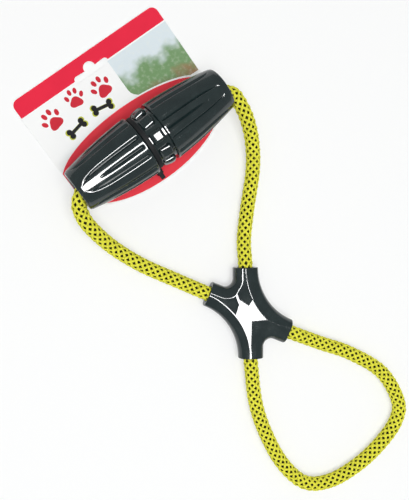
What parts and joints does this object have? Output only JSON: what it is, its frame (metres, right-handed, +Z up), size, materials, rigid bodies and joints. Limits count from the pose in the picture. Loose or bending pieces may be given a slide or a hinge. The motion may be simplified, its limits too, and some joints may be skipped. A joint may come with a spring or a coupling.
{
  "type": "rope tug toy",
  "caption": "Rope tug toy: a fluted rubber chew barrel on a closed rope, a moulded crossing piece that makes a hand loop, and a header card tied to the barrel.",
  "frame": {"origin": "on the surface the toy lies on, under the middle of the box round its barrel, crossing piece and card", "axes": "+Z up from the surface the toy lies on, +Y towards the card's top edge side of the layout, the hand loop towards -Y"},
  "size_m": [0.3399, 0.4135, 0.0535],
  "materials": {
    "black_rubber": "gloss",
    "yellow_rope": "matt, black flecks",
    "white_card": "satin",
    "black_nylon": "satin"
  },
  "bodies": {
    "rope_and_cross": {"rope_core": "yellow_rope", "rope_left_run": "yellow_rope", "rope_right_run": "yellow_rope", "rope_cross_left": "yellow_rope", "rope_cross_right": "yellow_rope", "hand_loop": "yellow_rope", "cross_piece": "black_rubber"},
    "barrel": {"chew_barrel": "black_rubber"},
    "card": {"header_card": "white_card", "card_tie": "black_nylon"}
  },
  "joints": [
    {"name": "barrel_spin", "type": "hinge", "parent": "rope_and_cross", "child": "barrel", "pos_m": [-0.0084, 0.0361, 0.0279], "axis": [0.807, 0.5906, 0], "continuous": true},
    {"name": "card_swing", "type": "hinge", "parent": "rope_and_cross", "child": "card", "pos_m": [-0.0084, 0.0361, 0.0279], "axis": [0.807, 0.5906, 0], "range_deg": [-45, 200]}
  ]
}
